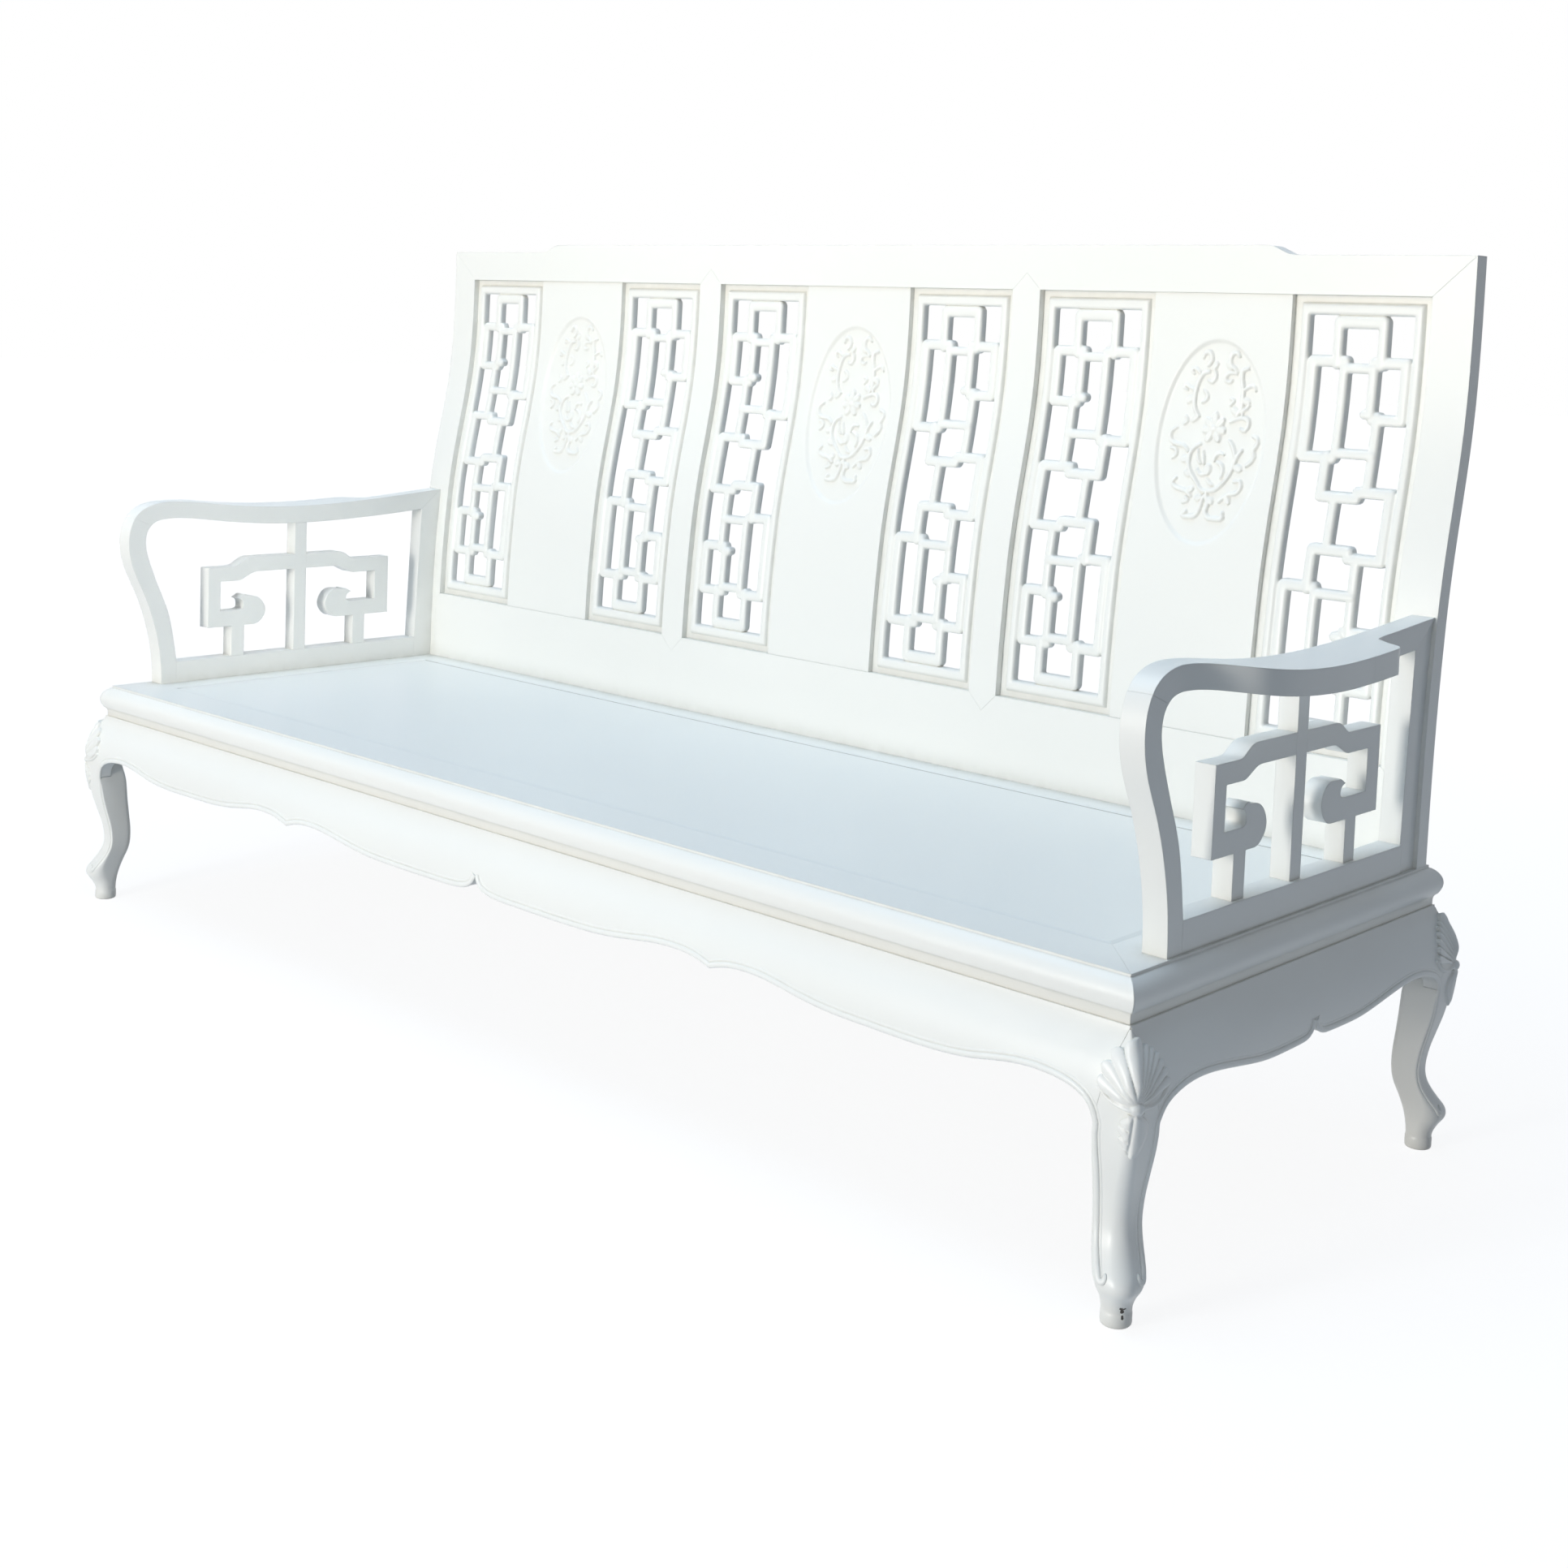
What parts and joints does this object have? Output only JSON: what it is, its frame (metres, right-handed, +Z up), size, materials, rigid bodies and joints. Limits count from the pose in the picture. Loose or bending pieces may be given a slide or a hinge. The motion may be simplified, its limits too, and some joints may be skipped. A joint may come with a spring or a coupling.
{
  "type": "luohan daybed",
  "caption": "Long white-lacquered wooden settee-daybed: lattice and carved panel back on an S curve, open key-fret arms, scalloped aprons and cabriole legs with shell knees.",
  "frame": {"origin": "centre of the daybed's box in plan, on the floor under the feet", "axes": "+X runs along the length, to the right as seen from in front, +Z is up, and the open front of the seat faces -Y"},
  "size_m": [1.9972, 0.706, 1.0605],
  "materials": {
    "lacquer": "white satin paint over hardwood",
    "batten_wood": "thin white paint over hardwood, underside",
    "dowel_wood": "bare turned hardwood"
  },
  "bodies": {
    "root": {"apron_front": "lacquer", "apron_left": "lacquer", "apron_rear": "lacquer", "apron_right": "lacquer", "arm_left_bottom_rail": "lacquer", "arm_left_centre_post": "lacquer", "arm_left_front_fret": "lacquer", "arm_left_front_post": "lacquer", "arm_left_rail": "lacquer", "arm_left_rear_fret": "lacquer", "arm_left_rear_post": "lacquer", "arm_right_bottom_rail": "lacquer", "arm_right_centre_post": "lacquer", "arm_right_front_fret": "lacquer", "arm_right_front_post": "lacquer", "arm_right_rail": "lacquer", "arm_right_rear_fret": "lacquer", "arm_right_rear_post": "lacquer", "back_bottom_rail": "lacquer", "back_muntin_left": "lacquer", "back_muntin_right": "lacquer", "back_panel_centre": "lacquer", "back_panel_left": "lacquer", "back_panel_right": "lacquer", "back_stile_left": "lacquer", "back_stile_right": "lacquer", "back_top_rail": "lacquer", "frame_dowels": "dowel_wood", "lattice_panel_1": "lacquer", "lattice_panel_2": "lacquer", "lattice_panel_3": "lacquer", "lattice_panel_4": "lacquer", "lattice_panel_5": "lacquer", "lattice_panel_6": "lacquer", "leg_front_left": "lacquer", "leg_front_right": "lacquer", "leg_rear_left": "lacquer", "leg_rear_right": "lacquer", "seat_batten_1": "batten_wood", "seat_batten_2": "batten_wood", "seat_batten_3": "batten_wood", "seat_batten_4": "batten_wood", "seat_frame_front": "lacquer", "seat_frame_left": "lacquer", "seat_frame_rear": "lacquer", "seat_frame_right": "lacquer", "seat_panel": "lacquer", "waist_front": "lacquer", "waist_left": "lacquer", "waist_rear": "lacquer", "waist_right": "lacquer"}
  },
  "joints": []
}
